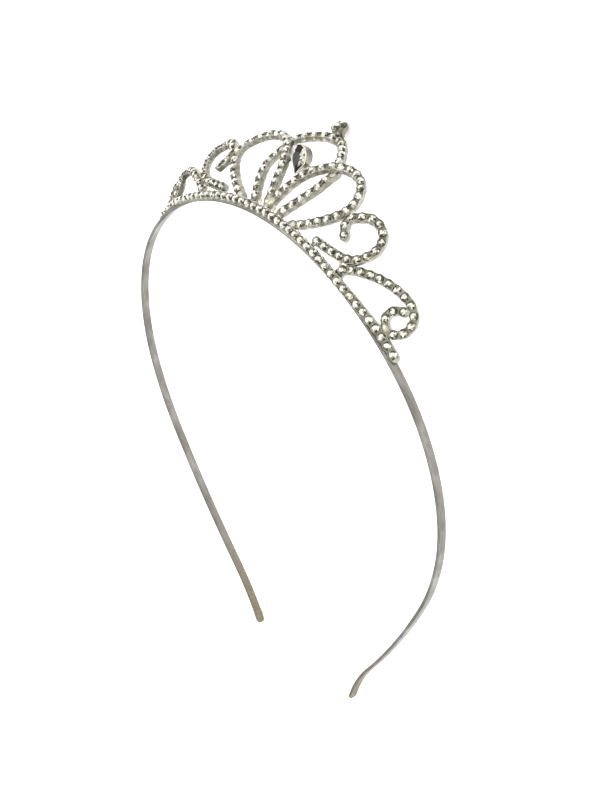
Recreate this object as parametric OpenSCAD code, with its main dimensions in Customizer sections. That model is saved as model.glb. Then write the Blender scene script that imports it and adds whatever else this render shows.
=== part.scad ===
// Mini crown headband: a flat metal strip bent to the head, with a leaning
// openwork crown of stone-set channels soldered along its top.
// It lies on its back, on the two tips and the cup of the top stone, with
// the stones up. +X is the wearer's side, +Y runs from the tips to the crown.

/* [Headband] */
// Width of the strip, from its front edge to its back edge
band_w = 2.2; // [1.6:0.1:4]
// Thickness of the strip
band_t = 0.9; // [0.6:0.1:1.5]
// Bevel along the strip's four edges
band_bevel = 0.18; // [0.05:0.01:0.25]
// Radius of the strip over the head
top_r = 70; // [64:1:80]
// Angle that the strip turns over each half of the head
top_turn = 46; // [42:1:50]
// Radius of the strip at the temples
side_r = 52; // [46:1:60]
// Angle that the strip turns at each temple
side_turn = 59; // [54:1:64]
// Radius of each leg below the temple
leg_r = 75; // [60:1:100]
// Angle that each leg turns
leg_turn = 15; // [10:1:20]
// Radius of the nearly straight end of each leg
lower_r = 260; // [200:5:400]
// Angle that the end of each leg turns
lower_turn = 9.5; // [5:0.5:12]
// Radius of the tip, which bends outwards again
tip_r = 60; // [40:1:90]
// Angle that the tip bends outwards
tip_turn = 18; // [8:1:24]

/* [Crown] */
// Length of each half of the crown, measured along the strip
crown_half = 56; // [50:1:62]
// Height of the crown along its face, from the base row to the arch
crown_h = 27.5; // [24:0.5:32]
// Angle that the crown leans back from the plane of the strip
lean = 47; // [40:1:55]
// Height along the face at which the crown starts to curl back
curl_start = 3.3; // [2:0.1:8]
// Radius of the curl towards the back
curl_r = 41.5; // [30:0.5:50]
// How far each half of the crown bulges forwards
bow = 1.3; // [0:0.1:2]
// How far the base row stands out where it crosses the strip's corner
base_lift = 0.7; // [0.4:0.05:0.9]
// How far the arch's peak sinks behind the face
arch_sink = 1.6; // [0:0.1:2]
// How far the top of each petal's vein sinks behind the face
vein_sink = 1.3; // [0:0.1:2]
// Distance from the middle of the strip out to the crown's face
face_out = 1.1; // [0.8:0.05:2]
// Distance from the strip's front edge back to the crown's face
face_back = 1.65; // [1.2:0.05:2.4]

/* [Channels] */
// Width of a stone-set channel
channel_w = 2.5; // [2.4:0.05:3]
// Depth of a channel
channel_d = 1.3; // [1.1:0.1:2.6]
// Depth of the base row's channel, which sits on the strip
base_d = 0.8; // [0.6:0.05:1.2]

/* [Stones] */
// Diameter of a small round stone
stone_d = 2.1; // [1.8:0.05:2.2]
// Height of a small stone, from its flat back to its table
stone_h = 0.6; // [0.4:0.05:1]
// Table of a stone as a share of its diameter
table_share = 0.56; // [0.45:0.01:0.7]
// Distance between neighbouring stones along a channel
stone_pitch = 2.52; // [2.4:0.02:3]
// Clearance between a stone and the metal
stone_gap = 0.08; // [0.05:0.01:0.15]

/* [Pear stone] */
// Width of the pear stone
pear_w = 5.2; // [4:0.1:6]
// Length of the pear stone, from its round end to its point
pear_l = 7.0; // [6:0.1:8.5]
// Height of the pear stone's crown
pear_h = 1.2; // [0.8:0.1:1.6]
// Wall of the pear stone's bezel
bezel_wall = 0.45; // [0.35:0.05:0.6]
// Depth of the bezel
bezel_d = 2.6; // [2.3:0.1:4]
// Share of its size that the bezel keeps at its back
bezel_taper = 0.78; // [0.6:0.02:1]
// Angle that the pear stone leans back
pear_lean = 20; // [10:1:35]
// Height of the pear stone's middle above the strip's middle
pear_up = 10.9; // [9:0.1:12]
// Distance of the pear stone's rim behind the strip's front edge
pear_back = 12.9; // [11:0.1:14]
// Length of the solder bar that joins the bezel to the crown
bar_len = 10; // [9:0.5:12]
// Thickness of the solder bar
bar_d = 1.3; // [1:0.1:1.6]

/* [Top stone] */
// Diameter of the top stone
top_d = 3.7; // [3:0.1:5]
// Height of the top stone's crown
top_h = 1.6; // [1:0.1:2]
// Height of the cup that holds the top stone
cup_h = 3.2; // [2.4:0.1:4]
// Height of the cup's straight collar
collar_h = 1.0; // [0.9:0.1:1.4]
// Wall of the cup
cup_wall = 0.3; // [0.25:0.05:0.6]
// Diameter of the cup's foot
cup_foot = 1.4; // [1.2:0.1:2]
// Angle that the cup's axis leans forwards of square
cup_lean = 11; // [0:1:20]
// Distance of the cup's foot behind the arch's middle line
cup_behind = 1.6; // [0.8:0.1:1.6]

/* [Hidden] */

silver = [0.78, 0.77, 0.74];
crystal = [0.93, 0.93, 0.9];
smoke = [0.25, 0.24, 0.24];

// Each row of these tables is [along, up]: the distance along the strip as a
// share of crown_half, and the height along the face as a share of crown_h. A
// third column is the share of the distance by which a channel leaves the face.
base_rows = [[0.966, 0.004, 0.3], [0.85, 0, 0.5], [0.78, -0.009, 0.9], [0.70, -0.022, 1.1],
    [0.57, -0.034, 1.1], [0.43, -0.03, 1.1], [0.286, -0.019, 1], [0.2, -0.015, 0.7], [0.12, -0.013, 0.4],
    [0, -0.011, 0.4]];
petal_rows = [[0.181, 0.024], [0.252, 0.12], [0.317, 0.254], [0.356, 0.395], [0.357, 0.518],
    [0.327, 0.636], [0.281, 0.717], [0.222, 0.737], [0.155, 0.68], [0.102, 0.562], [0.066, 0.44],
    [0.045, 0.32], [0.026, 0.198], [0.009, 0.077]];
vein_rows = [[0.095, 0.066, 0], [0.126, 0.186, 0.2], [0.151, 0.31, 0.4], [0.164, 0.415, 0.6],
    [0.164, 0.53, 0.8], [0.163, 0.652, 1]];
arch_rows = [[0.144, 0.731, 0.15], [0.12, 0.803, 0.25], [0.08, 0.888, 0.5], [0.038, 0.95, 0.75],
    [0, 0.972, 1]];
scroll_rows = [[0.437, 0.264], [0.406, 0.328], [0.395, 0.397], [0.423, 0.476], [0.456, 0.534],
    [0.504, 0.544], [0.551, 0.491], [0.573, 0.394], [0.566, 0.283], [0.538, 0.19], [0.486, 0.126],
    [0.415, 0.09], [0.345, 0.07]];
paisley_rows = [[0.528, 0.058], [0.567, 0.13], [0.621, 0.205], [0.689, 0.282], [0.76, 0.335],
    [0.824, 0.352], [0.875, 0.31], [0.899, 0.22], [0.892, 0.12], [0.856, 0.062], [0.818, 0.09],
    [0.801, 0.156], [0.811, 0.23], [0.833, 0.275]];
bridge_rows = [[0.527, 0.015], [0.528, -0.012]];

// Part of crown_h over which the bulge comes and goes
bow_top = 0.75;
spline_steps = 8;
ring_step = 1.6;
band_step = 5;
tip_rings = [0, 0.25, 0.7, 1.3];
tip_shares = [0.55, 0.8, 0.95, 1];
end_turns = [72, 40, 15];
round_facets = 32;
top_facets = 16;
pear_facets = 16;
bar_facets = 12;

// The strip's middle line, as a chain of tangent arcs
arcs = [[top_r, top_turn], [side_r, side_turn], [leg_r, leg_turn], [lower_r, lower_turn],
    [-tip_r, -tip_turn]];
function arc_len(i) = arcs[i][0] * arcs[i][1] * PI / 180;
band_half = arc_len(0) + arc_len(1) + arc_len(2) + arc_len(3) + arc_len(4);

// Place and heading on the strip at a distance from its middle, as [x, y, heading]
function band_at(d, i = 0, p = [0, 0], h = 0) =
    let (r = arcs[i][0], t = min(d, i < len(arcs) - 1 ? arc_len(i) : d) / r * 180 / PI,
        q = p + r * [sin(h + t) - sin(h), cos(h + t) - cos(h)])
    d <= arc_len(i) || i == len(arcs) - 1 ? [q.x, q.y, h + t] : band_at(d - arc_len(i), i + 1, q, h + t);

// A point beside the strip: out from its middle line, and back from its front edge
function beside(along, out, back) =
    let (side = along < 0 ? -1 : 1, b = band_at(abs(along)))
    [side * (b.x + out * sin(b.z)), b.y + out * cos(b.z), -back];

// Lean of the crown's face at a height, and how far it has risen outwards and backwards there
function face_lean(up) = min(90, lean + max(0, up - curl_start) / curl_r * 180 / PI);
function face_rise(up) =
    let (a = face_lean(up), flat = min(up, curl_start),
        past = max(0, up - curl_start - curl_r * (90 - lean) * PI / 180))
    flat * [cos(lean), sin(lean)] + curl_r * [sin(a) - sin(lean), cos(lean) - cos(a)] + [0, past];

function bulge(along, up) =
    bow * sin(180 * min(1, abs(along) / crown_half)) * sin(180 * max(0, min(1, up / crown_h / bow_top)));

// A point on the crown, raised from its face, and the way that the face looks there
function crown_at(along, up, raised = 0) =
    let (rise = face_rise(up), a = face_lean(up), h = raised + bulge(along, up))
    beside(along, face_out + rise.x + h * sin(a), face_back + rise.y - h * cos(a));
function facing(along, up) = crown_at(along, up, 1) - crown_at(along, up, 0);

function unit(v) = v / norm(v);
function spline_at(a, b, c, d, t) =
    0.5 * (2 * b + (c - a) * t + (2 * a - 5 * b + 4 * c - d) * t * t + (3 * b - a - 3 * c + d) * t * t * t);
function spline(p, steps) = concat(
    [for (i = [0 : len(p) - 2]) for (k = [0 : steps - 1])
        spline_at(p[max(i - 1, 0)], p[i], p[i + 1], p[min(i + 2, len(p) - 1)], k / steps)],
    [p[len(p) - 1]]);

// A table's rows in millimetres as [along, up, raised]
function sized(rows, off = 0) =
    [for (r = rows) [r[0] * crown_half, r[1] * crown_h, off == 0 ? 0 : off * r[2]]];

// A path on the crown's face, as rows of [distance walked, along, up, raised]
function path(rows, steps = spline_steps) =
    let (s = spline(rows, steps), q = [for (a = s) crown_at(a.x, a.y, a.z)])
    [for (i = 0, d = 0; i < len(q); d = d + (i + 1 < len(q) ? norm(q[i + 1] - q[i]) : 0), i = i + 1)
        [d, each s[i]]];
function path_len(p) = p[len(p) - 1][0];
function path_at(p, d) = [for (k = [1 : 3]) lookup(d, [for (r = p) [r[0], r[k]]])];

// Place on a path, as [point, direction of travel, sideways, outwards]
function station(p, d) =
    let (e = 0.2, m = path_at(p, d), a = path_at(p, d - e), b = path_at(p, d + e),
        travel = unit(crown_at(b.x, b.y, b.z) - crown_at(a.x, a.y, a.z)),
        side = unit(cross(facing(m.x, m.y), travel)))
    [crown_at(m.x, m.y, m.z), travel, side, cross(travel, side)];

function whole(half) =
    concat(half, [for (i = [len(half) - 2 : -1 : 0]) [-half[i].x, half[i].y, half[i].z]]);
base_path = path(whole(sized(base_rows, base_lift)));
arch_path = path(whole(sized(arch_rows, -arch_sink)));
petal_path = path(sized(petal_rows));
vein_path = path(sized(vein_rows, -vein_sink));
scroll_path = path(sized(scroll_rows));
paisley_path = path(sized(paisley_rows));
bridge_path = path(sized(bridge_rows), 2);

// Evenly spaced stones on a path, as stations
function row_of_stones(p) =
    let (room = path_len(p), count = floor(room / stone_pitch) + 1,
        first = (room - (count - 1) * stone_pitch) / 2)
    [for (k = [0 : count - 1]) station(p, first + k * stone_pitch)];

// Stones keep clear of those set before them, of the mirror plane, of the cup and of other channels
apart = stone_d + 2 * stone_gap;
beyond = (channel_w + stone_d) / 2 + stone_gap;
cup_seat = station(arch_path, path_len(arch_path) / 2);
cup_base = cup_seat[0] - cup_behind * [0, 0, 1];
function is_far(s, points, reach) = len([for (p = points) if (norm(s[0] - p) < reach) 1]) == 0;
function is_clear(s, before) = is_far(s, [for (b = before) b[0]], apart);
function off_plane(s) = abs(s[0].x) * 2 >= apart;
function off_cup(s) = norm(s[0] - cup_base) >= (cup_foot + stone_d) / 2 + 2 * stone_gap;
function line_of(p) = [for (r = p) crown_at(r[1], r[2], r[3])];
base_line = line_of(base_path);

base_set = row_of_stones(base_path);
arch_set = [for (s = row_of_stones(arch_path)) if (off_cup(s)) s];
function added(p, before) =
    [for (s = row_of_stones(p)) if (off_plane(s) && is_clear(s, before) && is_far(s, base_line, beyond)) s];
petal_set = added(petal_path, arch_set);
scroll_set = added(scroll_path, petal_set);
paisley_set = added(paisley_path, scroll_set);
vein_set = added(vein_path, petal_set);

// Half section of the top stone, as [radius, height over the cup's rim]
jewel_r = top_d / 2;
top_floor = -top_h / 2;
top_section = [[0, top_floor + stone_gap], [jewel_r, top_floor + stone_gap], [jewel_r, 0],
    [jewel_r * table_share, top_h / 2],
    [0, top_h / 2]];

// A point on the cup's axis, moved to its front side or, with a radius below zero, to its back
cup_r = jewel_r + cup_wall;
function at_cup_side(radius, height) =
    cup_base + (cup_h + height) * [0, cos(cup_lean), sin(cup_lean)]
        + radius * [0, -sin(cup_lean), cos(cup_lean)];

// The headband rests on its tips and on the lowest of these points at the crown's top
heel_points = concat([for (h = [0, -collar_h]) at_cup_side(-cup_r, h)], channel_ring(cup_seat, channel_d));
tip_points = [for (k = [0 : len(tip_rings) - 1]) each band_ring(band_half - tip_rings[k], tip_shares[k])];
rest_turn = max([for (q = heel_points) min([for (p = tip_points) atan2(p.z - q.z, q.y - p.y)])]);
function turned(p) =
    [p.x, p.y * cos(rest_turn) - p.z * sin(rest_turn), p.y * sin(rest_turn) + p.z * cos(rest_turn)];
floor_z = min([for (p = heel_points) turned(p).z]);
top_end = max([for (q = concat(top_section, [[cup_r, 0]])) for (side = [-1, 1])
    turned(at_cup_side(side * q[0], q[1])).y]);
tip_end = min([for (p = tip_points) turned(p).y]);

module placed() {
    translate([0, -(top_end + tip_end) / 2, -floor_z]) rotate([rest_turn, 0, 0]) children();
}

// A solid skinned over rings that all have the same number of points
module skin(rings) {
    n = len(rings[0]);
    last = len(rings) - 1;
    polyhedron(
        points = [for (r = rings) for (p = r) p],
        faces = concat(
            [[for (k = [0 : n - 1]) k]],
            [for (i = [0 : last - 1]) for (k = [0 : n - 1]) each
                [[i * n + k, (i + 1) * n + k, (i + 1) * n + (k + 1) % n],
                    [i * n + k, (i + 1) * n + (k + 1) % n, i * n + (k + 1) % n]]],
            [[for (k = [n - 1 : -1 : 0]) last * n + k]]));
}

// Ring of the strip: a bevelled rectangle across it
function band_ring(d, share) =
    let (t = band_t / 2, w = band_w / 2 * share, c = band_bevel)
    [for (q = [[-t + c, -w], [t - c, -w], [t, -w + c], [t, w - c], [t - c, w], [-t + c, w], [-t, w - c],
        [-t, -w + c]])
        beside(d, q[0], band_w / 2 - q[1])];

module band() {
    count = ceil(2 * (band_half - tip_rings[3]) / band_step);
    reach = band_half - tip_rings[3];
    skin(concat(
        [for (k = [0 : 2]) band_ring(-band_half + tip_rings[k], tip_shares[k])],
        [for (k = [0 : count]) band_ring(-reach + 2 * reach * k / count, 1)],
        [for (k = [2 : -1 : 0]) band_ring(band_half - tip_rings[k], tip_shares[k])]));
}

// Ring of a channel: a rectangle, narrowed and moved on towards a round end
function channel_ring(s, depth, ahead = 0, share = 1) =
    let (p = s[0] + ahead * s[1], w = channel_w / 2 * share)
    [p - w * s[2], p - w * s[2] - depth * s[3], p + w * s[2] - depth * s[3], p + w * s[2]];

module channel(p, depth = channel_d) {
    count = ceil(path_len(p) / ring_step);
    first = station(p, 0);
    last = station(p, path_len(p));
    reach = channel_w / 2;
    skin(concat(
        [for (a = end_turns) channel_ring(first, depth, -reach * sin(a), cos(a))],
        [for (k = [0 : count]) channel_ring(station(p, path_len(p) * k / count), depth)],
        [for (k = [len(end_turns) - 1 : -1 : 0])
            channel_ring(last, depth, reach * sin(end_turns[k]), cos(end_turns[k]))]));
}

// Ring of eight points round a station, at a height over the face
function eight(s, r, height, start = 0) =
    [for (k = [0 : 7]) let (a = start + 45 * k)
        s[0] + height * s[3] + r * cos(a) * s[1] + r * sin(a) * s[2]];

module small_stone(s) {
    skin([eight(s, stone_d / 2, stone_gap),
        eight(s, stone_d / 2 * table_share, stone_gap + stone_h, 22.5)]);
}

module stones(set) {
    color(crystal) placed() for (s = set) small_stone(s);
}

// Outline of a pear: a round end at +Y and a point at -Y, centred on its length
function pear_points(w, l) =
    let (r = w / 2, d = l - r, a = acos(r / d), count = pear_facets - 2)
    [for (p = concat([for (k = [0 : count]) let (t = a - 90 + (360 - 2 * a) * k / count)
        r * [cos(t), sin(t)]], [[0, -d]]))
        p + [0, l / 2 - r]];
function pear_ring(share, z) =
    let (p = pear_points(pear_w, pear_l))
    [for (q = p) [share * q.x, share * q.y, z]];

// Frame of the pear stone: its rim's plane at zero, looking along +Z
module at_pear() {
    translate([0, pear_up, -pear_back]) rotate([-pear_lean, 0, 0]) children();
}

module pear_bezel() {
    at_pear() mirror([0, 0, 1]) linear_extrude(bezel_d, scale = bezel_taper)
        polygon(pear_points(pear_w + 2 * bezel_wall, pear_l + 2 * bezel_wall));
}

module pear_seat() {
    at_pear() translate([0, 0, -pear_h / 2]) linear_extrude(pear_h)
        polygon(pear_points(pear_w + 2 * stone_gap, pear_l + 2 * stone_gap));
}

module solder_bar() {
    at_pear() translate([0, -bar_d, -pear_h / 2 - stone_gap - bar_d * 3 / 4]) rotate([0, 90, 0])
        cylinder(d = bar_d, h = bar_len, center = true, $fn = bar_facets);
}

// Frame of the top stone: the cup's rim at zero, looking along +Z
module at_cup() {
    translate(at_cup_side(0, 0)) rotate([cup_lean - 90, 0, 0]) children();
}

module top_cup() {
    foot = cup_foot / 2;
    seat = jewel_r + stone_gap;
    at_cup() rotate_extrude($fn = round_facets)
        polygon([[0, -cup_h - foot / 2], [foot, -cup_h], [cup_r, -collar_h], [cup_r, 0], [seat, 0],
            [seat, top_floor], [0, top_floor]]);
}

module both_sides() {
    children();
    mirror([1, 0, 0]) children();
}

module metal_frame() {
    color(silver) placed() difference() {
        union() {
            band();
            channel(base_path, base_d);
            channel(arch_path);
            both_sides() {
                channel(petal_path);
                channel(vein_path);
                channel(scroll_path);
                channel(paisley_path);
                channel(bridge_path);
            }
            pear_bezel();
            solder_bar();
            top_cup();
        }
        pear_seat();
    }
}

module base_stones() {
    stones(base_set);
}

module arch_stones() {
    stones(arch_set);
}

module petal_stones_right() {
    stones(petal_set);
}

module vein_stones_right() {
    stones(vein_set);
}

module scroll_stones_right() {
    stones(scroll_set);
}

module paisley_stones_right() {
    stones(paisley_set);
}

// A pear-cut stone: a table inside the girdle, with sloping facets between
module pear_stone() {
    color(smoke) placed() at_pear()
        skin([pear_ring(1, stone_gap - pear_h / 2), pear_ring(1, 0), pear_ring(table_share, pear_h / 2)]);
}

module top_stone() {
    color(crystal) placed() at_cup() rotate_extrude($fn = top_facets) polygon(top_section);
}

metal_frame();
base_stones();
arch_stones();
mirror([1, 0, 0]) petal_stones_right();  // petal_stones_left
petal_stones_right();
mirror([1, 0, 0]) vein_stones_right();  // vein_stones_left
vein_stones_right();
mirror([1, 0, 0]) scroll_stones_right();  // scroll_stones_left
scroll_stones_right();
mirror([1, 0, 0]) paisley_stones_right();  // paisley_stones_left
paisley_stones_right();
pear_stone();
top_stone();
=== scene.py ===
import math
import random

import bmesh
import bpy
from mathutils import Matrix, Vector, noise


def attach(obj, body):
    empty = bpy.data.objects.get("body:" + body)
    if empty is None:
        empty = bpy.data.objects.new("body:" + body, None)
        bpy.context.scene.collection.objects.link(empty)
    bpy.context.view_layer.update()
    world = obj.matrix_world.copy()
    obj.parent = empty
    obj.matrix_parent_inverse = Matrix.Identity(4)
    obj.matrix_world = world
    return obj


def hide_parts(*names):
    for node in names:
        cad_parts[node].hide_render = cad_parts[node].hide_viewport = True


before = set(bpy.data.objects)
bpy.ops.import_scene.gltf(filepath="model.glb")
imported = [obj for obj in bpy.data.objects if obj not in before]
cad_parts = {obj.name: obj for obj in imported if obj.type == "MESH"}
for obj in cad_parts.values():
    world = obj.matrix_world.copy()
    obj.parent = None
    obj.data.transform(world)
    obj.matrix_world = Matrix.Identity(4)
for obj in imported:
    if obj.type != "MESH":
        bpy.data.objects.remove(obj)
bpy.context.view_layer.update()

# Sizes, in millimetres and degrees
STRIP = {"width": 2.2, "thick": 0.9, "bevel": 0.18}
ARCS = ((70, 46), (52, 59), (75, 15), (260, 9.5), (-60, -18))
TIP_STEPS = ((0, 0.55), (0.25, 0.8), (0.7, 0.95), (1.3, 1))
CROWN = {"half": 56, "high": 27.5, "lean": 47, "curl_start": 3.3, "curl": 41.5, "bow": 1.3, "bow_top": 0.75,
         "out": 1.1, "back": 1.65}
CHANNEL = {"width": 2.5, "deep": 1.3, "base_deep": 0.8, "wall": 0.17, "rim": 0.27, "floor": -0.03, "neck": 1.02}
STONE = {"width": 2.1, "high": 0.6, "table": 0.56, "pitch": 2.52, "gap": 0.08}
PEAR = {"width": 5.2, "long": 7.0, "high": 1.2, "wall": 0.45, "deep": 2.6, "taper": 0.78, "lean": 20, "up": 10.9,
        "back": 12.9, "bar_long": 10, "bar_thick": 1.3}
TOP = {"width": 3.7, "high": 1.6, "cup": 3.2, "collar": 1.0, "wall": 0.3, "foot": 1.4, "lean": 11, "behind": 1.6}

# The crown's lines, as shares of its half length and its height, with how far each leaves the face
BASE_ROWS = ((0.966, 0.004, 0.3), (0.85, 0, 0.5), (0.78, -0.009, 0.9), (0.70, -0.022, 1.1),
             (0.57, -0.034, 1.1), (0.43, -0.03, 1.1), (0.286, -0.019, 1), (0.2, -0.015, 0.7),
             (0.12, -0.013, 0.4), (0, -0.011, 0.4))
PETAL_ROWS = ((0.181, 0.024), (0.252, 0.12), (0.317, 0.254), (0.356, 0.395), (0.357, 0.518),
              (0.327, 0.636), (0.281, 0.717), (0.222, 0.737), (0.155, 0.68), (0.102, 0.562), (0.066, 0.44),
              (0.045, 0.32), (0.026, 0.198), (0.009, 0.077))
VEIN_ROWS = ((0.095, 0.066, 0), (0.126, 0.186, 0.2), (0.151, 0.31, 0.4), (0.164, 0.415, 0.6),
             (0.164, 0.53, 0.8), (0.163, 0.652, 1))
ARCH_ROWS = ((0.144, 0.731, 0.15), (0.12, 0.803, 0.25), (0.08, 0.888, 0.5), (0.038, 0.95, 0.75),
             (0, 0.972, 1))
SCROLL_ROWS = ((0.437, 0.264), (0.406, 0.328), (0.395, 0.397), (0.423, 0.476), (0.456, 0.534),
               (0.504, 0.544), (0.551, 0.491), (0.573, 0.394), (0.566, 0.283), (0.538, 0.19),
               (0.486, 0.126), (0.415, 0.09), (0.345, 0.07))
PAISLEY_ROWS = ((0.528, 0.058), (0.567, 0.13), (0.621, 0.205), (0.689, 0.282), (0.76, 0.335),
                (0.824, 0.352), (0.875, 0.31), (0.899, 0.22), (0.892, 0.12), (0.856, 0.062), (0.818, 0.09),
                (0.801, 0.156), (0.811, 0.23), (0.833, 0.275))
BRIDGE_ROWS = ((0.527, 0.015), (0.528, -0.012))

# How the headband lies on the floor: turned onto its back and lifted, in metres
LAID = (Matrix.Scale(0.001, 4) @ Matrix.Translation((0, 59.05525, 25.4268))
        @ Matrix.Rotation(math.radians(9.58164), 4, "X"))


# Places on the strip and on the crown's face

def strip_at(walked):
    """Place and heading on the strip's middle line."""
    x, y, heading = 0.0, 0.0, 0.0
    for number, (radius, turn) in enumerate(ARCS):
        long = radius * math.radians(turn)
        last = number == len(ARCS) - 1
        part = walked if last else min(walked, long)
        after = heading + part / radius
        x += radius * (math.sin(after) - math.sin(heading))
        y += radius * (math.cos(after) - math.cos(heading))
        heading = after
        walked -= part
        if walked <= 0 or last:
            return x, y, heading


def beside(along, out, back):
    side = -1 if along < 0 else 1
    x, y, heading = strip_at(abs(along))
    return Vector((side * (x + out * math.sin(heading)), y + out * math.cos(heading), -back))


def crown_at(along, up, raised=0.0):
    """A point on the crown's face, or raised from it."""
    lean = math.radians(CROWN["lean"])
    curl = CROWN["curl"]
    turn = min(math.pi / 2, lean + max(0, up - CROWN["curl_start"]) / curl)
    flat = min(up, CROWN["curl_start"])
    past = max(0, up - CROWN["curl_start"] - curl * (math.pi / 2 - lean))
    out = flat * math.cos(lean) + curl * (math.sin(turn) - math.sin(lean))
    back = flat * math.sin(lean) + curl * (math.cos(lean) - math.cos(turn)) + past
    share = max(0, min(1, up / CROWN["high"] / CROWN["bow_top"]))
    bulge = CROWN["bow"] * math.sin(math.pi * min(1, abs(along) / CROWN["half"])) * math.sin(math.pi * share)
    high = raised + bulge
    return beside(along, CROWN["out"] + out + high * math.sin(turn), CROWN["back"] + back - high * math.cos(turn))


def facing(along, up):
    return (crown_at(along, up, 1) - crown_at(along, up)).normalized()


def turned_frame(place, travel, side, out):
    turn = Matrix((travel, side, out)).transposed().to_4x4()
    return LAID @ Matrix.Translation(place) @ turn


def smooth_rows(rows, steps):
    points = [Vector(row) for row in rows]
    done = []
    for i in range(len(points) - 1):
        a, b = points[max(i - 1, 0)], points[i]
        c, d = points[i + 1], points[min(i + 2, len(points) - 1)]
        for k in range(steps):
            t = k / steps
            done.append(0.5 * (2 * b + (c - a) * t + (2 * a - 5 * b + 4 * c - d) * t * t
                               + (3 * b - a - 3 * c + d) * t ** 3))
    return done + [points[-1]]


class Line:
    """A line of the crown: a channel's middle, walked from its start."""

    def __init__(self, rows, leaves=0.0, whole=False, side=1, deep=CHANNEL["deep"], steps=16):
        sized = [(row[0] * CROWN["half"], row[1] * CROWN["high"], leaves * row[2] if len(row) > 2 else 0)
                 for row in rows]
        if whole:
            sized = sized + [(-a, up, raised) for a, up, raised in sized[-2::-1]]
        self.rows = [Vector((side * a, up, raised)) for a, up, raised in smooth_rows(sized, steps)]
        self.walked = [0.0]
        for a, b in zip(self.rows, self.rows[1:]):
            self.walked.append(self.walked[-1] + (crown_at(*b) - crown_at(*a)).length)
        self.long = self.walked[-1]
        self.deep = deep
        count = math.floor(self.long / STONE["pitch"]) + 1
        first = (self.long - (count - 1) * STONE["pitch"]) / 2
        self.cups = [first + k * STONE["pitch"] for k in range(count)]

    def row_at(self, walked):
        walked = max(0.0, min(self.long, walked))
        i = 0
        while i < len(self.walked) - 2 and self.walked[i + 1] < walked:
            i += 1
        share = (walked - self.walked[i]) / (self.walked[i + 1] - self.walked[i])
        return self.rows[i].lerp(self.rows[i + 1], share)

    def frame(self, walked):
        """Axes there: along the line, across it and out of the face."""
        here = self.row_at(walked)
        travel = (crown_at(*self.row_at(walked + 0.2)) - crown_at(*self.row_at(walked - 0.2))).normalized()
        side = facing(here.x, here.y).cross(travel).normalized()
        return turned_frame(crown_at(*here), travel, side, travel.cross(side))

    def nearest(self, place):
        """Distance walked to the point of the line that is nearest to a place in metres."""
        def far(walked):
            return (self.frame(walked).translation - place).length
        best = min((k * self.long / 240 for k in range(241)), key=far)
        return min((best + k * 0.02 for k in range(-12, 13)), key=far)


LINES = {
    "base": Line(BASE_ROWS, leaves=0.7, whole=True, deep=CHANNEL["base_deep"]),
    "arch": Line(ARCH_ROWS, leaves=-1.6, whole=True),
}
for _side, _sign in (("left", -1), ("right", 1)):
    LINES["petal_" + _side] = Line(PETAL_ROWS, side=_sign)
    LINES["vein_" + _side] = Line(VEIN_ROWS, leaves=-1.3, side=_sign)
    LINES["scroll_" + _side] = Line(SCROLL_ROWS, side=_sign)
    LINES["paisley_" + _side] = Line(PAISLEY_ROWS, side=_sign)
BRIDGES = [Line(BRIDGE_ROWS, side=sign, steps=2) for sign in (-1, 1)]

PEAR_FRAME = (LAID @ Matrix.Translation((0, PEAR["up"], -PEAR["back"]))
              @ Matrix.Rotation(math.radians(-PEAR["lean"]), 4, "X"))


def cup_frame():
    lean = math.radians(TOP["lean"])
    arch = LINES["arch"]
    foot = LAID.inverted() @ arch.frame(arch.long / 2).translation - Vector((0, 0, TOP["behind"]))
    rim = foot + TOP["cup"] * Vector((0, math.cos(lean), math.sin(lean)))
    return LAID @ Matrix.Translation(rim) @ Matrix.Rotation(math.radians(TOP["lean"] - 90), 4, "X")


CUP_FRAME = cup_frame()


# Shader maths

class Value:
    """A socket that can be used in a sum."""

    def __init__(self, finish, socket):
        self.finish = finish
        self.socket = socket

    def __add__(self, other):
        return self.finish.maths("ADD", self, other)

    def __radd__(self, other):
        return self.finish.maths("ADD", other, self)

    def __sub__(self, other):
        return self.finish.maths("SUBTRACT", self, other)

    def __rsub__(self, other):
        return self.finish.maths("SUBTRACT", other, self)

    def __mul__(self, other):
        return self.finish.maths("MULTIPLY", self, other)

    def __rmul__(self, other):
        return self.finish.maths("MULTIPLY", other, self)

    def __truediv__(self, other):
        return self.finish.maths("DIVIDE", self, other)

    def __pow__(self, other):
        return self.finish.maths("POWER", self, other)


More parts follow.
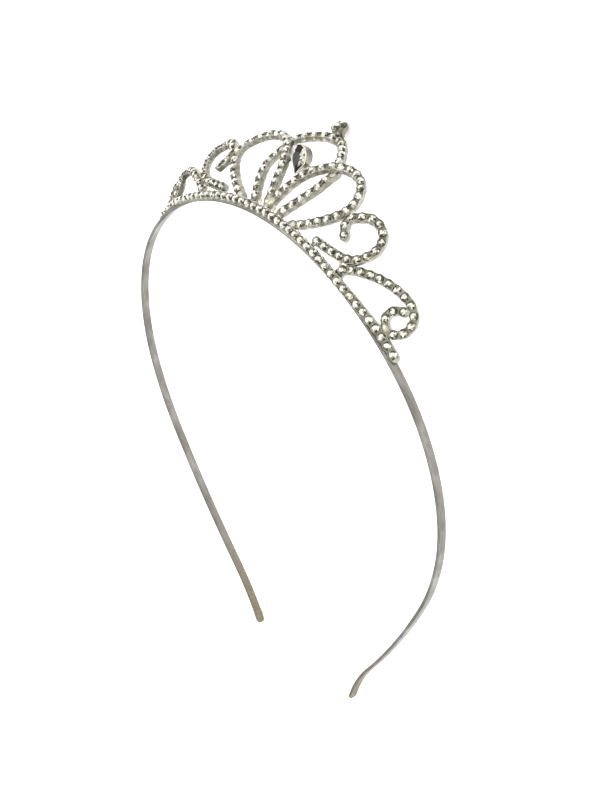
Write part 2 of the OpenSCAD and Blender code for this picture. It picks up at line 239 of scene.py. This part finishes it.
class Finish:
    """A material, with its nodes written as expressions."""

    def __init__(self, name, **sockets):
        self.material = bpy.data.materials.new(name)
        self.material.use_nodes = True
        self.tree = self.material.node_tree
        self.shader = self.tree.nodes["Principled BSDF"]
        self.set(**sockets)

    def put(self, node, key, value):
        socket = node.inputs[key]
        if isinstance(value, Value):
            self.tree.links.new(value.socket, socket)
        else:
            socket.default_value = value

    def set(self, **sockets):
        for key, value in sockets.items():
            self.put(self.shader, key.replace("_", " "), value)

    def node(self, kind, settings=None, sockets=None, output=0):
        node = self.tree.nodes.new("ShaderNode" + kind)
        for key, value in (settings or {}).items():
            setattr(node, key, value)
        for key, value in (sockets or {}).items():
            self.put(node, key, value)
        return Value(self, node.outputs[output])

    def maths(self, operation, *values, clamp=False):
        return self.node("Math", {"operation": operation, "use_clamp": clamp}, dict(enumerate(values)))

    def stretched(self, vector, scale):
        return self.node("VectorMath", {"operation": "MULTIPLY"}, {0: vector, 1: scale})

    def mix(self, share, a, b, blend="MIX"):
        return self.node("Mix", {"data_type": "RGBA", "blend_type": blend}, {0: share, 6: a, 7: b}, 2)

    def ramp(self, share, stops):
        ramp = self.node("ValToRGB", None, {0: share})
        colours = ramp.socket.node.color_ramp
        while len(colours.elements) < len(stops):
            colours.elements.new(0.5)
        for element, (place, colour) in zip(colours.elements, stops):
            element.position = place
            element.color = colour
        return ramp

    def over(self, value, low, high, to_low=0.0, to_high=1.0):
        return self.node("MapRange", {"interpolation_type": "SMOOTHSTEP"},
                         {0: value, 1: low, 2: high, 3: to_low, 4: to_high})

    def noise(self, vector, scale, detail=3.0, roughness=0.55):
        return self.node("TexNoise", None, {"Vector": vector, "Scale": scale, "Detail": detail,
                                            "Roughness": roughness})

    def place(self):
        return self.node("TexCoord", None, None, 3)

    def part(self, vector, axis):
        return self.node("SeparateXYZ", None, {0: vector}, axis)

    def read(self, name, vector=False):
        return self.node("Attribute", {"attribute_name": name}, None, 1 if vector else 2)

    def bump(self, height, strength, distance):
        return self.node("Bump", None, {"Height": height, "Strength": strength, "Distance": distance})


def rgb(red, green, blue):
    return (red, green, blue, 1.0)


def channel_silver():
    """Cast silver, satin on the walls, darkened to olive by patina and painted shade in the hollows and on the floors
    between the stones, and lighter on the rim tops.
    """
    f = Finish("channel_silver")
    place = f.place()
    cloud = f.noise(place, 240.0, 4.0)
    fine = f.noise(place, 2600.0, 3.0)
    # The marked value paints shade into the hollows and between the stones, over real patina; negative values lighten
    # the rim tops.
    patina_and_shade = f.read("tarnish_and_shade")
    grime_and_shade = f.over(patina_and_shade + (cloud - 0.5) * 0.7, 0.0, 1.0)
    shade = f.ramp(cloud + (fine - 0.5) * 0.4 + f.over(patina_and_shade, 0.0, -1.0) * 0.4,
                   ((0.3, rgb(0.21, 0.205, 0.168)), (0.52, rgb(0.345, 0.338, 0.288)), (0.72, rgb(0.54, 0.53, 0.475))))
    dull = f.ramp(fine + (cloud - 0.5) * 0.6,
                  ((0.35, rgb(0.10, 0.097, 0.055)), (0.55, rgb(0.25, 0.245, 0.165)), (0.75, rgb(0.48, 0.47, 0.36))))
    f.set(Base_Color=f.mix(grime_and_shade, shade, dull), Roughness=0.22 + fine * 0.2 + grime_and_shade * 0.15, Metallic=0.95 - grime_and_shade * 0.5,
          Normal=f.bump(fine + cloud * 0.6, 0.35, 0.00004))
    return f.material


def strip_silver():
    """Plated strip: fine drawing lines along it, worn and brownish at the tips."""
    f = Finish("strip_silver", Metallic=0.92)
    grain = f.read("grain", True)
    place = f.place()
    lines = f.noise(f.stretched(grain, (0.22, 7.0, 7.0)), 1.0, 5.0, 0.6)
    patches = f.noise(f.stretched(grain, (0.16, 0.35, 0.35)), 1.0, 3.0)
    specks = f.noise(place, 1700.0, 3.0)
    worn = f.over(f.part(place, 1), -0.045, -0.078)
    shade = f.ramp(lines * 0.45 + patches * 0.55,
                   ((0.32, rgb(0.125, 0.120, 0.100)), (0.5, rgb(0.215, 0.209, 0.187)), (0.68, rgb(0.35, 0.345, 0.32))))
    brown = f.ramp(specks * 0.6 + lines * 0.4,
                   ((0.35, rgb(0.14, 0.112, 0.073)), (0.6, rgb(0.26, 0.222, 0.158))))
    f.set(Base_Color=f.mix(worn * (0.55 + patches * 0.6), shade, brown), Roughness=0.26 + lines * 0.22 + worn * 0.1,
          Normal=f.bump(lines + specks * 0.5, 0.4, 0.00003))
    return f.material


def solder_metal():
    """Soft solder: paler and yellower than the silver, satin and a little pitted."""
    f = Finish("solder", Metallic=0.7)
    place = f.place()
    cloud = f.noise(place, 900.0, 4.0)
    fine = f.noise(place, 5200.0, 2.0)
    shade = f.ramp(cloud * 0.7 + fine * 0.3,
                   ((0.36, rgb(0.24, 0.23, 0.13)), (0.47, rgb(0.52, 0.51, 0.38)), (0.62, rgb(0.80, 0.79, 0.69))))
    f.set(Base_Color=shade, Roughness=0.28 + cloud * 0.25, Normal=f.bump(cloud + fine * 0.4, 0.6, 0.00008))
    return f.material


def foiled_crystal():
    """Foil-backed crystal: each facet's light or dark reflection is painted into its colour, with fine streaks inside.
    """
    f = Finish("foiled_crystal", Roughness=0.07, Specular_IOR_Level=0.3, Coat_Weight=0.12, Coat_Roughness=0.03)
    cut = f.read("cut")
    streak = f.noise(f.place(), 3800.0, 2.0)
    # Painted reflections: the per-facet value runs from black to white.
    shade = f.ramp(cut + (streak - 0.5) * 0.14,
                   ((0.0, rgb(0.022, 0.021, 0.011)), (0.2, rgb(0.10, 0.097, 0.058)), (0.42, rgb(0.29, 0.283, 0.195)),
                    (0.68, rgb(0.61, 0.60, 0.49)), (0.88, rgb(0.94, 0.935, 0.86))))
    f.set(Base_Color=shade, Metallic=0.2)
    return f.material


def smoky_crystal():
    """Dark pear-cut stone: a near-black table, and paler streaked sides where reflections are painted in."""
    f = Finish("smoky_crystal", Roughness=0.12, Specular_IOR_Level=0.15)
    cut = f.read("cut")
    streak = f.noise(f.stretched(f.place(), (1.0, 0.35, 1.0)), 2600.0, 3.0)
    shade = f.ramp(cut + (streak - 0.5) * 0.4,
                   ((0.0, rgb(0.006, 0.005, 0.005)), (0.25, rgb(0.035, 0.031, 0.028)), (0.5, rgb(0.17, 0.165, 0.14)),
                    (0.75, rgb(0.50, 0.50, 0.44)), (1.0, rgb(0.88, 0.88, 0.80))))
    f.set(Base_Color=shade)
    return f.material


def pale_floor():
    f = Finish("pale_floor", Roughness=0.9, Specular_IOR_Level=0.1, Emission_Color=rgb(1.0, 1.0, 1.0),
               Emission_Strength=0.4)
    cloud = f.noise(f.place(), 3.0, 2.0)
    f.set(Base_Color=f.ramp(cloud, ((0.3, rgb(0.93, 0.93, 0.925)), (0.7, rgb(0.95, 0.95, 0.945)))))
    return f.material


SILVER = channel_silver()
STRIP_SILVER = strip_silver()
SOLDER = solder_metal()
CRYSTAL = foiled_crystal()
SMOKE = smoky_crystal()


# Making pieces

def piece(name, bm, material, replaced=(), smooth=None):
    """A finished piece from its mesh: it rides on the headband and stands for CAD nodes."""
    mesh = bpy.data.meshes.new(name)
    bm.to_mesh(mesh)
    bm.free()
    mesh.materials.append(material)
    if smooth is not None:
        mesh.shade_smooth()
        mesh.set_sharp_from_angle(angle=math.radians(smooth))
    made = bpy.data.objects.new(name, mesh)
    bpy.context.scene.collection.objects.link(made)
    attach(made, "root")
    if replaced:
        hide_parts(*replaced)
    return made


def drawn(bm, rings, marks):
    """A bar drawn through rings of points in metres; marks are the vertex values that each ring carries."""
    layers = {name: bm.verts.layers.float_vector[name] if name == "grain" else bm.verts.layers.float[name]
              for name in marks}

    def place(verts, number):
        for k, vert in enumerate(verts):
            vert.co = rings[number][k]
            for name, layer in layers.items():
                vert[layer] = marks[name][number][k]

    first = [bm.verts.new(point) for point in rings[0]]
    place(first, 0)
    count = len(first)
    start = bm.faces.new(first)
    edges = [bm.edges.get((first[k], first[(k + 1) % count])) for k in range(count)]
    made, verts = set(first), first
    for number in range(1, len(rings)):
        grown = bmesh.ops.extrude_edge_only(bm, edges=edges)["geom"]
        new = [g for g in grown if isinstance(g, bmesh.types.BMVert)]
        fresh = set(new)
        after = {}
        for old in verts:
            for edge in old.link_edges:
                other = edge.other_vert(old)
                if other in fresh:
                    after[old] = other
        verts = [after[old] for old in verts]
        place(verts, number)
        edges = [bm.edges.get((verts[k], verts[(k + 1) % count])) for k in range(count)]
        made.update(verts)
    bm.faces.new(verts[::-1])
    faces = {face for vert in made for face in vert.link_faces}
    bmesh.ops.recalc_face_normals(bm, faces=list(faces))
    return start


def marked():
    bm = bmesh.new()
    bm.verts.layers.float_vector.new("grain")
    bm.verts.layers.float.new("tarnish_and_shade")
    return bm


# The strip

def strip():
    half, thick, bevel = STRIP["width"] / 2, STRIP["thick"] / 2, STRIP["bevel"]
    reach = sum(radius * math.radians(turn) for radius, turn in ARCS)
    steps = [(-reach + step, share) for step, share in TIP_STEPS]
    inner = reach - TIP_STEPS[-1][0]
    count = 240
    steps += [(-inner + 2 * inner * k / count, 1) for k in range(1, count)]
    steps += [(reach - step, share) for step, share in reversed(TIP_STEPS)]
    rings, grain, tarnish_and_shade = [], [], []
    for walked, share in steps:
        ring = []
        for out_sign, back_sign, start in ((-1, -1, 180), (1, -1, 270), (1, 1, 0), (-1, 1, 90)):
            for k in range(4):
                turn = math.radians(start + 30 * k)
                out = out_sign * (thick - bevel) + bevel * math.cos(turn)
                back = back_sign * (half * share - bevel) + bevel * math.sin(turn)
                ring.append((out, back))
        rings.append([LAID @ beside(walked, out, half - back) for out, back in ring])
        grain.append([Vector((walked, out, back)) for out, back in ring])
        tarnish_and_shade.append([0.0] * len(ring))
    bm = marked()
    drawn(bm, rings, {"grain": grain, "tarnish_and_shade": tarnish_and_shade})
    piece("headband_strip", bm, STRIP_SILVER, ["metal_frame"], smooth=40)


# The channels

def channel_section(half, low_half, deep, rim, floor):
    """Half of a channel's section from its foot to the middle of its floor, as (across, out, patina and painted shade);
    the foot and the floor get painted shade, and negative values lighten the rim top.
    """
    wall = min(CHANNEL["wall"], half * 0.45)
    foot = 0.18
    # The third values paint shade at the foot and on the floor between the stones.
    return [
        (low_half - foot, -deep, 0.25), (low_half - foot * 0.3, -deep + foot * 0.3, 0.1), (low_half, -deep + foot, 0.0),
        (low_half, -deep * 0.5, 0.0), (half, -min(0.3, deep * 0.4), 0.0), (half, rim - 0.07, 0.0),
        (half - 0.03, rim - 0.02, -0.7), (half - 0.07, rim, -1.0), (half - wall + 0.03, rim - 0.02, -0.4),
        (half - wall, rim - 0.07, 0.3), (half - wall - 0.02, floor, 0.45)]


def channel(bm, line, cups=True):
    width = CHANNEL["width"] / 2
    steps = [(0.0, -width * math.sin(math.radians(a)), math.cos(math.radians(a))) for a in (78, 60, 42, 24, 10)]
    count = max(2, math.ceil(line.long / 0.28))
    steps += [(line.long * k / count, 0.0, 1.0) for k in range(count + 1)]
    steps += [(line.long, width * math.sin(math.radians(a)), math.cos(math.radians(a))) for a in (10, 24, 42, 60, 78)]
    rings, grain, tarnish_and_shade = [], [], []
    for walked, ahead, share in steps:
        frame_here = line.frame(walked)
        near = min(abs(walked + ahead - cup) for cup in line.cups)
        cup = math.sqrt(max(0.0, width ** 2 - near ** 2))
        half = max(CHANNEL["neck"], cup) if cups else width
        low = half + (width - half) * 0.6
        closed = not cups or share < 0.99
        rim = CHANNEL["rim"] if cups else 0.0
        floor = rim - 0.01 if closed else CHANNEL["floor"]
        side = channel_section(half * share, low * share, line.deep, rim, floor)
        ring = side + [(-across, out, grime_and_shade) for across, out, grime_and_shade in reversed(side)]
        rings.append([frame_here @ Vector((ahead, across, out)) for across, out, grime_and_shade in ring])
        grain.append([Vector((walked + ahead, across, out)) for across, out, grime_and_shade in ring])
        tarnish_and_shade.append([0.0 if closed and out > 0 else grime_and_shade for across, out, grime_and_shade in ring])
    drawn(bm, rings, {"grain": grain, "tarnish_and_shade": tarnish_and_shade})


def channels():
    for name, line in LINES.items():
        bm = marked()
        channel(bm, line)
        piece("channel_" + name, bm, SILVER, ["metal_frame"], smooth=42)
    bm = marked()
    for line in BRIDGES:
        channel(bm, line, cups=False)
    piece("channel_bridges", bm, SILVER, ["metal_frame"], smooth=42)


# The small stones and the claws between them

def brilliant(width, high, table, segments=8):
    """A round crown cut: a table of wedges, kites below it and halves down to the girdle."""
    radius = width / 2
    bm = bmesh.new()
    turn = math.pi / segments
    lip = high * 0.1
    rings = (
        (radius, 0.0, segments * 2, 0.0), (radius, lip, segments * 2, 0.0),
        (radius * (1 + table) / 2 * 1.045, high * 0.60, segments, turn), (radius * table, high, segments, 0.0))
    for reach, up, count, start in rings:
        for k in range(count):
            angle = start + 2 * math.pi * k / count
            bm.verts.new((reach * math.cos(angle), reach * math.sin(angle), up))
    bmesh.ops.convex_hull(bm, input=bm.verts[:])
    bmesh.ops.dissolve_limit(bm, angle_limit=math.radians(1), verts=bm.verts[:], edges=bm.edges[:])
    top = [face for face in bm.faces if face.normal.z > 0.999]
    bmesh.ops.poke(bm, faces=top)
    mesh = bpy.data.meshes.new("brilliant")
    bm.to_mesh(mesh)
    bm.free()
    return mesh


# The way that the small stones' shaded facets face, towards the crown's top
SHADED_WAY = Vector((-0.4, 0.89, -0.22))


def set_stones(bm, pattern, frames, dice, dark):
    """Sets one stone at each frame, with painted reflections on its facets: a bright table, dark facets along the line,
    and painted shade on facets turned towards the crown's top.
    """
    cut = bm.faces.layers.float["cut"]
    for frame_here in frames:
        before_verts, before_faces = len(bm.verts), len(bm.faces)
        bm.from_mesh(pattern)
        bm.verts.ensure_lookup_table()
        bm.faces.ensure_lookup_table()
        verts = bm.verts[before_verts:]
        glint = dice.gauss(0, 0.2 + dark)
        shine = dice.uniform(0.92, 1.0) - dark * 0.15
        spin = dice.uniform(0, math.pi / 4)
        tilt = Matrix.Rotation(math.radians(dice.uniform(-4, 4)), 4, "X")
        place = frame_here @ tilt @ Matrix.Rotation(spin, 4, "Z")
        turn = place.to_3x3().normalized()
        # Each facet's value paints its reflection into the crystal's colour, from black to white.
        for face in bm.faces[before_faces:]:
            middle = face.calc_center_median()
            angle = math.atan2(middle.y, middle.x) + spin - glint
            # Facets turned towards the crown's top get painted shade.
            turned_off = SHADED_WAY.dot(turn @ face.normal) - SHADED_WAY.dot(turn.col[2])
            if face.normal.z > 0.98:
                level = shine - (dice.uniform(0.2, 0.6) if math.cos(angle) < -0.7 else 0.0)
            elif turned_off > 0.4:
                level = dice.uniform(0.1, 0.42)
            else:
                between = math.cos(2 * angle) > 0.7
                level = dice.uniform(0.0, 0.25) if between or dice.random() < dark * 0.5 else dice.uniform(0.35, 0.95)
            face[cut] = max(0.0, min(1.0, level))
        bmesh.ops.transform(bm, matrix=place, verts=verts)


def solids_of(node):
    """The loose solids of a CAD node, each as its vertices' places."""
    bm = bmesh.new()
    bm.from_mesh(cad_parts[node].data)
    bmesh.ops.remove_doubles(bm, verts=bm.verts[:], dist=2e-6)
    left = set(bm.verts)
    found = []
    while left:
        edge_of = [left.pop()]
        solid = []
        while edge_of:
            vert = edge_of.pop()
            solid.append(vert.co.copy())
            for edge in vert.link_edges:
                other = edge.other_vert(vert)
                if other in left:
                    left.remove(other)
                    edge_of.append(other)
        found.append(solid)
    bm.free()
    return found


def seats_of(node, line):
    """A frame for each stone of a string, on the channel's face under the CAD stone."""
    seats = []
    for solid in solids_of(node):
        middle = sum(solid, Vector()) / len(solid)
        ranked = sorted(solid, key=lambda place: (place - middle).length)
        table, girdle = ranked[:8], ranked[-8:]
        bottom = sum(girdle, Vector()) / 8
        out = (sum(table, Vector()) / 8 - bottom).normalized()
        along = line.frame(line.nearest(bottom)).to_3x3().col[0].normalized()
        side = out.cross(along).normalized()
        turn = Matrix((side.cross(out), side, out)).transposed().to_4x4()
        seats.append(Matrix.Translation(bottom) @ turn @ Matrix.Scale(0.001, 4))
    return seats


def claws(bm, seats, dice):
    """Four claw tips round each stone, pressed over its edge."""
    bead = bmesh.new()
    bmesh.ops.create_icosphere(bead, subdivisions=1, radius=0.22)
    bead.verts.layers.float.new("tarnish_and_shade")
    mesh = bpy.data.meshes.new("claw")
    bead.to_mesh(mesh)
    bead.free()
    for seat in seats:
        for along in (-1, 1):
            for across in (-1, 1):
                start = len(bm.verts)
                bm.from_mesh(mesh)
                bm.verts.ensure_lookup_table()
                size = dice.uniform(0.85, 1.1)
                shape = Matrix.Diagonal((size * 1.15, size * 0.95, size * 0.9, 1))
                place = Matrix.Translation((along * 0.98, across * 0.86, 0.1))
                bmesh.ops.transform(bm, matrix=seat @ place @ shape, verts=bm.verts[start:])


def stones():
    """Sets every string of stones, and lists the frames of the empty cups."""
    pattern = brilliant(STONE["width"], STONE["high"], STONE["table"])
    dice = random.Random(11)
    grip = marked()
    empty = []
    for name, line in LINES.items():
        family, _, side = name.partition("_")
        node = family + "_stones" + ("_" + side if side else "")
        seats = seats_of(node, line)
        bm = bmesh.new()
        bm.faces.layers.float.new("cut")
        # Scroll and paisley stones get more facets with painted dark reflections.
        dark = 0.9 if family in ("scroll", "paisley") else 0.25
        set_stones(bm, pattern, seats, dice, dark)
        piece(node + "_cut", bm, CRYSTAL, [node])
        claws(grip, seats, dice)
        for cup in line.cups:
            where = line.frame(cup)
            if min((where.translation - seat.translation).length for seat in seats) > 0.0012:
                empty.append(where)
    piece("claws", grip, SILVER, ["metal_frame"], smooth=60)
    return empty


# The pear stone and its bezel

def pear_outline(width, long, count=24):
    """Outline of a pear: a round end at +Y and a point at -Y, centred on its length."""
    radius = width / 2
    down = long - radius
    reach = math.acos(radius / down)
    turns = [reach - math.pi / 2 + (2 * math.pi - 2 * reach) * k / count for k in range(count + 1)]
    points = [Vector((radius * math.cos(t), radius * math.sin(t))) for t in turns] + [Vector((0, -down))]
    return [point + Vector((0, long / 2 - radius)) for point in points]


def pear_stone():
    outline = pear_outline(PEAR["width"], PEAR["long"], 15)
    bm = bmesh.new()
    cut = bm.faces.layers.float.new("cut")
    girdle = outline[:]
    middles = [(a + b) / 2 for a, b in zip(outline, outline[1:] + outline[:1])]
    share = STONE["table"]
    for points, reach, up in ((girdle, 1.0, STONE["gap"] - PEAR["high"] / 2), (girdle, 1.0, 0.06),
                              (middles, (1 + share) / 2 * 1.03, PEAR["high"] / 2 * 0.58),
                              (girdle, share, PEAR["high"] / 2)):
        for point in points:
            bm.verts.new((point.x * reach, point.y * reach, up))
    bmesh.ops.convex_hull(bm, input=bm.verts[:])
    bmesh.ops.dissolve_limit(bm, angle_limit=math.radians(1), verts=bm.verts[:], edges=bm.edges[:])
    bmesh.ops.recalc_face_normals(bm, faces=bm.faces[:])
    top = [face for face in bm.faces if face.normal.z > 0.999]
    bmesh.ops.poke(bm, faces=top)
    dice = random.Random(5)
    # Painted reflections: the table and middle dark, the side facets light.
    for face in bm.faces:
        middle = face.calc_center_median()
        across = abs(middle.x) / PEAR["width"] * 2
        if face.normal.z > 0.98 or across < 0.42:
            face[cut] = dice.uniform(0.0, 0.2)
        else:
            face[cut] = dice.choice((0.45, 0.7, 0.8, 0.9, 1.0))
    bmesh.ops.transform(bm, matrix=PEAR_FRAME, verts=bm.verts[:])
    piece("pear_stone_cut", bm, SMOKE, ["pear_stone"])


def pear_bezel():
    wall = PEAR["wall"]
    outer = pear_outline(PEAR["width"] + 2 * wall, PEAR["long"] + 2 * wall, 30)
    gap = STONE["gap"]
    inner = pear_outline(PEAR["width"] + 2 * gap, PEAR["long"] + 2 * gap, 30)
    # The last value of each row darkens the bezel's foot and the seat under the stone.
    rows = (
        (outer, PEAR["taper"], -PEAR["deep"], 0.3), (outer, 0.80, -PEAR["deep"] * 0.96, 0.1),
        (outer, 0.86, -PEAR["deep"] * 0.62, 0.0), (outer, 0.975, -0.32, 0.0), (outer, 1.0, -0.14, 0.0),
        (outer, 0.995, -0.04, 0.0), (outer, 0.975, 0.0, 0.0), (inner, 1.02, 0.0, 0.1), (inner, 1.0, -0.05, 0.6),
        (inner, 1.0, -PEAR["high"] / 2, 1.0))
    rings = [[PEAR_FRAME @ Vector((p.x * share, p.y * share, up)) for p in points] for points, share, up, grime_and_shade in rows]
    grain = [[Vector((p.x * share, p.y * share, up)) for p in points] for points, share, up, grime_and_shade in rows]
    tarnish_and_shade = [[grime_and_shade] * len(points) for points, share, up, grime_and_shade in rows]
    bm = marked()
    drawn(bm, rings, {"grain": grain, "tarnish_and_shade": tarnish_and_shade})
    piece("pear_bezel", bm, SILVER, ["metal_frame"], smooth=35)


# The top stone in its cup

# Light of the eight wedges of the top stone's table, round from +X
TOP_TABLE = (0.0, 0.75, 0.0, 0.55, 0.6, 1.0, 1.0, 0.5)


def top_stone():
    pattern = brilliant(TOP["width"], TOP["high"] / 2, STONE["table"])
    bm = bmesh.new()
    bm.faces.layers.float.new("cut")
    bm.from_mesh(pattern)
    floor = STONE["gap"] - TOP["high"] / 2
    bottom = [face for face in bm.faces if face.normal.z < -0.999]
    grown = bmesh.ops.extrude_face_region(bm, geom=bottom)["geom"]
    bmesh.ops.translate(bm, vec=(0, 0, floor), verts=[g for g in grown if isinstance(g, bmesh.types.BMVert)])
    bmesh.ops.delete(bm, geom=bottom, context="FACES_ONLY")
    bmesh.ops.recalc_face_normals(bm, faces=bm.faces[:])
    cut = bm.faces.layers.float["cut"]
    dice = random.Random(8)
    # Painted reflections: light and dark table wedges, and dark crown facets on one side.
    for face in bm.faces:
        middle = face.calc_center_median()
        turn = math.degrees(math.atan2(middle.y, middle.x)) % 360
        if face.normal.z > 0.98:
            face[cut] = TOP_TABLE[int(turn // 45)]
        else:
            face[cut] = dice.uniform(0.0, 0.2) if 265 < turn < 318 or turn < 62 else dice.uniform(0.35, 0.8)
    bmesh.ops.transform(bm, matrix=CUP_FRAME, verts=bm.verts[:])
    piece("top_stone_cut", bm, CRYSTAL, ["top_stone"])


def top_cup():
    rim = TOP["width"] / 2 + TOP["wall"]
    seat = TOP["width"] / 2 + STONE["gap"]
    foot = TOP["foot"] / 2
    deep = TOP["cup"]
    # The last value of each row darkens the cup's foot and its seat under the stone.
    profile = ((0.0, -deep - foot / 2, 0.2), (foot * 0.6, -deep - foot * 0.3, 0.3), (foot, -deep, 0.5),
               (foot * 1.12, -deep + 0.25, 0.4), (rim * 0.86, -TOP["collar"] - 0.35, 0.1), (rim, -TOP["collar"], 0.0),
               (rim, -0.5, 0.0), (rim, -0.06, 0.0), (rim - 0.04, 0.0, 0.0), (seat + 0.03, 0.0, 0.2),
               (seat, -0.05, 0.7), (seat, -TOP["high"] / 2, 1.0), (0.0, -TOP["high"] / 2, 1.0))
    bm = marked()
    grime_and_shade_layer = bm.verts.layers.float["tarnish_and_shade"]
    verts = []
    for reach, up, grime_and_shade in profile:
        vert = bm.verts.new((reach, 0, up))
        vert[grime_and_shade_layer] = grime_and_shade
        verts.append(vert)
    edges = [bm.edges.new(pair) for pair in zip(verts, verts[1:])]
    bmesh.ops.spin(bm, geom=verts + edges, cent=(0, 0, 0), axis=(0, 0, 1), angle=2 * math.pi, steps=40, use_merge=True)
    bmesh.ops.remove_doubles(bm, verts=bm.verts[:], dist=1e-4)
    bmesh.ops.recalc_face_normals(bm, faces=bm.faces[:])
    bmesh.ops.transform(bm, matrix=CUP_FRAME, verts=bm.verts[:])
    piece("top_cup", bm, SILVER, ["metal_frame"], smooth=40)


# Solder at the joints

SOLDER_SPOTS = (
    # along, up (shares), raised, long, wide, high, turn
    (0.0, 0.05, 0.0, 2.4, 1.5, 0.7, 0), (0.05, 0.06, 0.0, 1.6, 1.3, 0.6, 30), (0.1, 0.035, 0.0, 1.6, 1.1, 0.6, 60),
    (0.17, 0.005, 0.0, 1.6, 1.2, 0.55, 0), (0.145, 0.70, -0.2, 1.7, 1.3, 0.7, 70),
    (0.385, 0.45, 0.0, 1.5, 1.2, 0.6, 20), (0.345, 0.035, 0.0, 1.6, 1.2, 0.5, 0),
    (0.50, 0.09, 0.0, 1.5, 1.2, 0.5, 40), (0.858, 0.03, 0.0, 1.6, 1.2, 0.5, 0))


def solder_drop(bm, where, size, dice):
    """One uneven drop, flattened on the face at a frame in metres."""
    start = len(bm.verts)
    bmesh.ops.create_icosphere(bm, subdivisions=3, radius=1.0)
    bm.verts.ensure_lookup_table()
    drop = bm.verts[start:]
    seed = Vector((dice.uniform(0, 50), dice.uniform(0, 50), dice.uniform(0, 50)))
    for vert in drop:
        vert.co *= 1 + 0.22 * noise.noise(vert.co * 1.4 + seed)
    bmesh.ops.transform(bm, matrix=where @ Matrix.Diagonal((*(length / 2 for length in size), 1)), verts=drop)


def solder(empty):
    """Drops at the joints, and one in each cup where two channels leave no room for a stone."""
    bm = marked()
    dice = random.Random(3)
    for along, up, raised, long, wide, high, turn in SOLDER_SPOTS:
        for sign in ((1,) if along == 0 else (1, -1)):
            place = crown_at(sign * along * CROWN["half"], up * CROWN["high"], raised)
            out = facing(sign * along * CROWN["half"], up * CROWN["high"])
            side = out.cross(Vector((0, 0, 1))).normalized()
            where = turned_frame(place, out.cross(side) * -1, side, out) @ Matrix.Rotation(math.radians(turn), 4, "Z")
            solder_drop(bm, where, (long, wide, high), dice)
    for where in empty:
        size = (dice.uniform(1.8, 2.4), dice.uniform(1.6, 2.1), dice.uniform(0.5, 0.8))
        solder_drop(bm, where, size, dice)
    piece("solder_drops", bm, SOLDER, ["metal_frame"], smooth=80)


def solder_bar():
    bm = marked()
    bmesh.ops.create_cone(bm, cap_ends=True, segments=24, radius1=PEAR["bar_thick"] / 2, radius2=PEAR["bar_thick"] / 2,
                          depth=PEAR["bar_long"])
    lift = -PEAR["high"] / 2 - STONE["gap"] - PEAR["bar_thick"] * 3 / 4
    where = (PEAR_FRAME @ Matrix.Translation((0, -PEAR["bar_thick"], lift)) @ Matrix.Rotation(math.pi / 2, 4, "Y"))
    bmesh.ops.transform(bm, matrix=where, verts=bm.verts[:])
    piece("solder_bar", bm, SOLDER, ["metal_frame"], smooth=40)


# The studio

def studio():
    bm = bmesh.new()
    bmesh.ops.create_grid(bm, x_segments=1, y_segments=1, size=6.0)
    mesh = bpy.data.meshes.new("studio_floor")
    bm.to_mesh(mesh)
    bm.free()
    mesh.materials.append(pale_floor())
    floor = bpy.data.objects.new("studio_floor", mesh)
    bpy.context.scene.collection.objects.link(floor)

    world = bpy.data.worlds.new("studio_air")
    world.use_nodes = True
    tree = world.node_tree
    way = tree.nodes.new("ShaderNodeTexCoord")
    split = tree.nodes.new("ShaderNodeSeparateXYZ")
    sky = tree.nodes.new("ShaderNodeValToRGB")
    for element, (high, grey) in zip((*sky.color_ramp.elements, sky.color_ramp.elements.new(0.5)),
                                     ((0.0, 0.30), (0.9, 1.0), (0.4, 0.62))):
        element.position = high
        element.color = rgb(grey, grey, grey)
    tree.links.new(way.outputs["Generated"], split.inputs[0])
    tree.links.new(split.outputs[2], sky.inputs[0])
    tree.links.new(sky.outputs[0], tree.nodes["Background"].inputs["Color"])
    tree.nodes["Background"].inputs["Strength"].default_value = 1.55
    bpy.context.scene.world = world

    boxes = (
        ("key_box", (-0.55, 0.1, 0.75), 0.35, 0.35, 3.0),
        ("front_box", (0.35, -0.7, 0.7), 0.3, 0.3, 1.5))
    aim = Vector((0, 0.03, 0))
    for name, place, wide, tall, watts in boxes:
        data = bpy.data.lights.new(name, "AREA")
        data.shape = "RECTANGLE"
        data.size = wide
        data.size_y = tall
        data.energy = watts
        lamp = bpy.data.objects.new(name, data)
        lamp.location = place
        lamp.rotation_euler = (aim - Vector(place)).to_track_quat("-Z", "Y").to_euler()
        bpy.context.scene.collection.objects.link(lamp)


def camera():
    right = Vector((0.58964, 0.05900, -0.80551))
    up = Vector((-0.39830, 0.88887, -0.22645))
    data = bpy.data.cameras.new("camera")
    data.sensor_fit = "VERTICAL"
    data.sensor_height = 24.0
    data.lens = 60.0
    view = bpy.data.objects.new("camera", data)
    turn = Matrix((right, up, right.cross(up))).transposed().to_4x4()
    view.matrix_world = Matrix.Translation((0.366233, 0.241321, 0.294346)) @ turn
    bpy.context.scene.collection.objects.link(view)
    bpy.context.scene.camera = view
    bpy.context.scene.view_settings.view_transform = "Standard"


strip()
channels()
empty_cups = stones()
pear_stone()
pear_bezel()
top_stone()
top_cup()
solder(empty_cups)
solder_bar()
studio()
camera()
